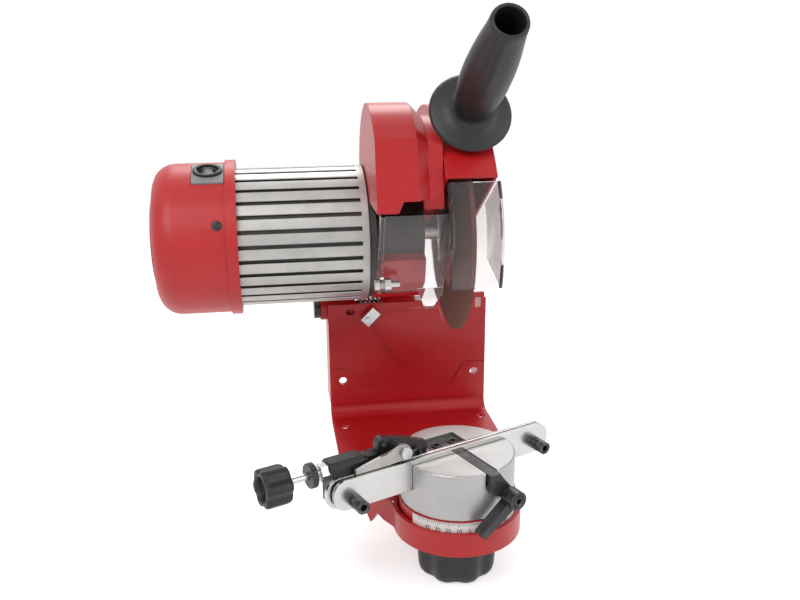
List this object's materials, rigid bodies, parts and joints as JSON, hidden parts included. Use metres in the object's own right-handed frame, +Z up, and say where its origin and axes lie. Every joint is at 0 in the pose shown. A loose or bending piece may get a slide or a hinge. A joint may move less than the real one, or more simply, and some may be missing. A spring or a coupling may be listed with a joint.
{
  "type": "electric chainsaw sharpener",
  "caption": "Bench chain sharpener: a hinged grinding head with motor, guarded wheel and handle swings down to a turning chain vice with a scale, a stop and a lever clamp.",
  "frame": {"origin": "middle of the foot's underside, which rests on the bench top", "axes": "+X along the motor towards the wheel, +Y away from the user, +Z up"},
  "size_m": [0.2855, 0.2784, 0.4104],
  "materials": {
    "red_paint": "gloss red paint",
    "red_plastic": "satin red plastic",
    "black_plastic": "matte black plastic",
    "black_metal": "satin black coating",
    "black_steel": "black oxide",
    "dark_casting": "dark grey casting",
    "grey_plastic": "matte grey plastic",
    "aluminium": "satin aluminium",
    "zinc": "bright zinc plating",
    "steel": "machined steel",
    "copper": "bare copper",
    "carbon": "matte carbon",
    "ferrite": "dull ferrite",
    "fan_plastic": "matte moulded plastic",
    "abrasive": "rough brown abrasive",
    "clear_plastic": "clear polycarbonate",
    "white_print": "white with black figures"
  },
  "bodies": {
    "stand": {"base_bracket": "red_paint", "hinge_pin": "black_steel", "hinge_nut": "steel", "return_spring": "steel", "stop_tab": "zinc", "stop_tab_screw": "zinc", "scale_boss": "red_paint", "scale_label": "white_print"},
    "head": {"end_cap": "red_plastic", "end_cap_screw_front": "black_steel", "end_cap_screw_rear": "black_steel", "switch_body": "grey_plastic", "motor_tube": "aluminium", "motor_end_shield": "dark_casting", "rear_bearing_plate": "aluminium", "motor_bearing": "steel", "wheel_bearing": "steel", "spindle_housing": "dark_casting", "field_magnet_front": "ferrite", "field_magnet_rear": "ferrite", "brush_plate": "grey_plastic", "carbon_brush_front": "carbon", "carbon_brush_rear": "carbon", "cord_gland": "black_plastic", "swing_arm": "red_paint", "head_housing": "red_paint", "wheel_cover": "red_paint", "handle_grip": "black_plastic", "clear_guard": "clear_plastic", "guard_screw": "zinc", "guard_screw_nut": "zinc"},
    "spindle": {"armature": "steel", "commutator": "copper", "cooling_fan": "fan_plastic", "spindle_shaft": "steel", "inner_flange": "steel", "grinding_wheel": "abrasive", "outer_flange": "steel", "spindle_nut": "steel"},
    "rocker": {"switch_rocker": "black_plastic"},
    "depth_stop": {"depth_screw": "black_steel"},
    "turntable": {"turntable_drum": "aluminium", "centre_stud": "steel", "pocket_screw": "zinc", "rear_rail": "zinc", "rail_screw_left": "black_steel", "rail_screw_right": "black_steel", "stop_housing": "black_plastic"},
    "table_knob": {"star_knob": "black_plastic"},
    "clamp": {"front_rail": "zinc", "clamp_bar": "black_metal", "clamp_lever_screw": "black_steel"},
    "lever": {"clamp_lever": "black_metal"},
    "stop_screw": {"adjusting_screw": "zinc", "adjusting_knob": "black_plastic"},
    "stop_lock": {"lock_nut": "black_metal"},
    "stop_carriage": {"stop_bracket": "black_metal", "bracket_screw": "black_steel", "pawl_pivot_bolt": "zinc"},
    "pawl": {"stop_pawl": "zinc"}
  },
  "joints": [
    {"name": "head_swing", "type": "hinge", "parent": "stand", "child": "head", "pos_m": [0, 0.05, 0.096], "axis": [1, 0, 0], "range_deg": [0, 36], "stiffness_Nm_per_rad": 4, "springref_deg": -74.48, "deforming": ["return_spring"]},
    {"name": "spindle_spin", "type": "hinge", "parent": "head", "child": "spindle", "pos_m": [-0.06, -0.057, 0.185], "axis": [1, 0, 0], "continuous": true},
    {"name": "rocker_tip", "type": "hinge", "parent": "head", "child": "rocker", "pos_m": [-0.1517, -0.07362, 0.23067], "axis": [0, 0.9397, 0.342], "range_deg": [-6, 6]},
    {"name": "depth_screw_turn", "type": "hinge", "parent": "head", "child": "depth_stop", "pos_m": [-0.06, 0.03954, 0.1047], "axis": [0, 0.6395, 0.7688], "continuous": true},
    {"name": "turntable_turn", "type": "hinge", "parent": "stand", "child": "turntable", "pos_m": [0.0165, -0.089, 0], "axis": [0, 0, 1], "range_deg": [-53, 7]},
    {"name": "table_knob_turn", "type": "hinge", "parent": "turntable", "child": "table_knob", "pos_m": [0.0165, -0.089, 0], "axis": [0, 0, 1], "continuous": true},
    {"name": "clamp_lever_turn", "type": "hinge", "parent": "clamp", "child": "lever", "pos_m": [0.02755, -0.08431, 0.006], "axis": [-0.3907, 0.9205, 0], "range_deg": [0, 75]},
    {"name": "clamp_slide", "type": "slide", "parent": "turntable", "child": "clamp", "axis": [-0.3907, 0.9205, 0], "range_m": [0, 0.0007]},
    {"name": "stop_screw_turn", "type": "hinge", "parent": "turntable", "child": "stop_screw", "pos_m": [0.01181, -0.07795, 0.031], "axis": [0.9205, 0.3907, 0], "range_deg": [-1080, 1080]},
    {"name": "stop_slide", "type": "slide", "parent": "turntable", "child": "stop_carriage", "axis": [0.9205, 0.3907, 0], "range_m": [-0.003, 0.003]},
    {"name": "lock_nut_turn", "type": "hinge", "parent": "turntable", "child": "stop_lock", "pos_m": [0.01181, -0.07795, 0.031], "axis": [0.9205, 0.3907, 0], "continuous": true},
    {"name": "pawl_flip", "type": "hinge", "parent": "stop_carriage", "child": "pawl", "pos_m": [-0.02658, -0.10729, 0.0362], "axis": [-0.3907, 0.9205, 0], "range_deg": [0, 186]}
  ],
  "couplings": [
    {"joint": "clamp_lever_turn", "follows": "clamp_slide", "rad_per_m": 1869.9},
    {"joint": "stop_screw_turn", "follows": "stop_slide", "rad_per_m": 6283.2}
  ]
}
